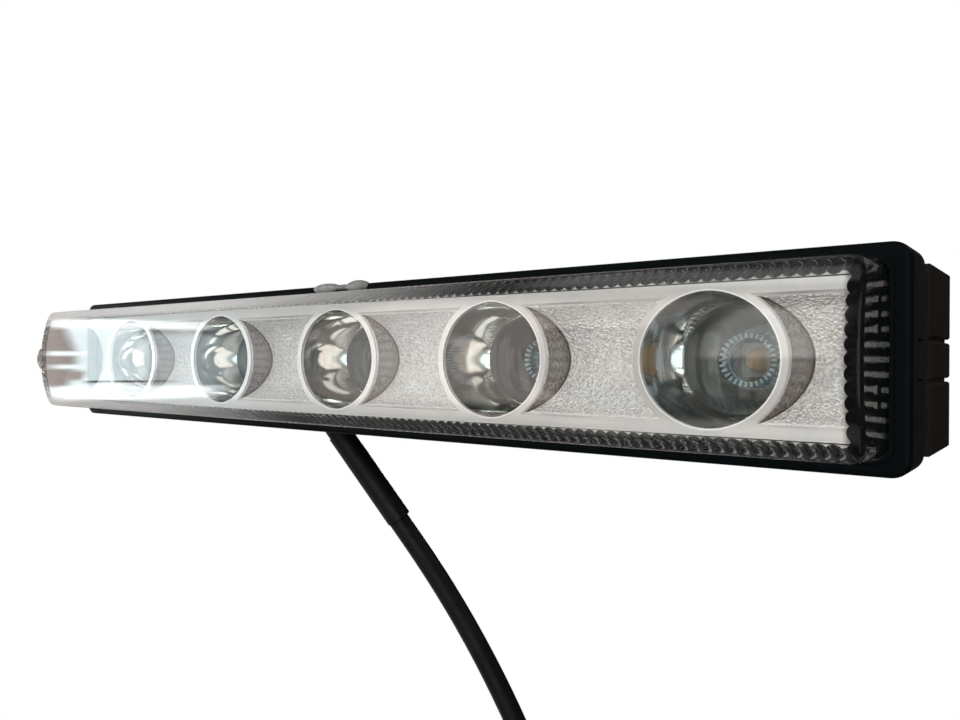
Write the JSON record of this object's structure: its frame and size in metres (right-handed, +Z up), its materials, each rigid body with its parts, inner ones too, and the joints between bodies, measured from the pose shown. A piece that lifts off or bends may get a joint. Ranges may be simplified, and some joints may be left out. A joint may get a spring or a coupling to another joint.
{
  "type": "led light bar",
  "caption": "Slim vehicle LED light bar: projector optics in a row under a deep clear fluted cover, black bezel and housing, one cable from the underside.",
  "frame": {"origin": "Centre of the flat rear face, where the bar is bolted down.", "axes": "X runs along the bar, -Y is the way the light leaves, +Z is up with the cable hanging down."},
  "size_m": [0.2414, 0.0737, 0.1525],
  "materials": {
    "housing_black": "fine moulded grain",
    "bezel_black": "satin",
    "clear_cover": "water clear, polished",
    "seal_silicone": "cured sealant",
    "sealant": "cured translucent sealant",
    "reflector_silver": "satin, stippled in the troughs",
    "cup_mirror": "mirror",
    "lens_clear": "polished",
    "collar_ice": "translucent light blue",
    "emitter_ceramic": "matte",
    "dome_silicone": "clear",
    "board_dark": "black solder mask on aluminium",
    "pad_grey": "matte",
    "sink_aluminium": "as extruded",
    "board_green": "solder mask",
    "ferrite_grey": "matte",
    "copper_coil": "enamelled copper",
    "chip_black": "matte",
    "can_aluminium": "satin",
    "nylon_natural": "matte",
    "screw_steel": "zinc plated",
    "insert_brass": "machined",
    "vent_grey": "matte",
    "cable_black": "matte",
    "core_red": "satin",
    "core_black": "satin",
    "strand_copper": "tinned copper strands"
  },
  "bodies": {
    "root": {"housing": "housing_black", "bezel_frame": "bezel_black", "lens_cover": "clear_cover", "lens_seal": "seal_silicone", "sealant_bead": "sealant", "reflector": "reflector_silver", "led_board": "board_dark", "thermal_pad": "pad_grey", "heat_sink": "sink_aluminium", "driver_board": "board_green", "driver_inductor": "ferrite_grey", "driver_coil": "copper_coil", "vent_plug": "vent_grey", "cable_grommet": "cable_black", "cable_sleeve": "cable_black", "cable_jacket": "cable_black", "led_collars": "collar_ice", "led_packages": "emitter_ceramic", "led_domes": "dome_silicone", "driver_chips": "chip_black", "driver_capacitors": "can_aluminium", "driver_spacers": "nylon_natural", "driver_screws": "screw_steel", "engine_screws": "screw_steel", "rear_screws": "screw_steel", "link_pins": "insert_brass", "link_bushings": "nylon_natural", "mount_inserts": "insert_brass", "core_red": "core_red", "core_black": "core_black", "core_tips": "strand_copper", "projector_cup_1": "cup_mirror", "projector_lens_1": "lens_clear", "projector_cup_2": "cup_mirror", "projector_lens_2": "lens_clear", "projector_cup_3": "cup_mirror", "projector_lens_3": "lens_clear", "projector_cup_4": "cup_mirror", "projector_lens_4": "lens_clear", "projector_cup_5": "cup_mirror", "projector_lens_5": "lens_clear"}
  },
  "joints": []
}
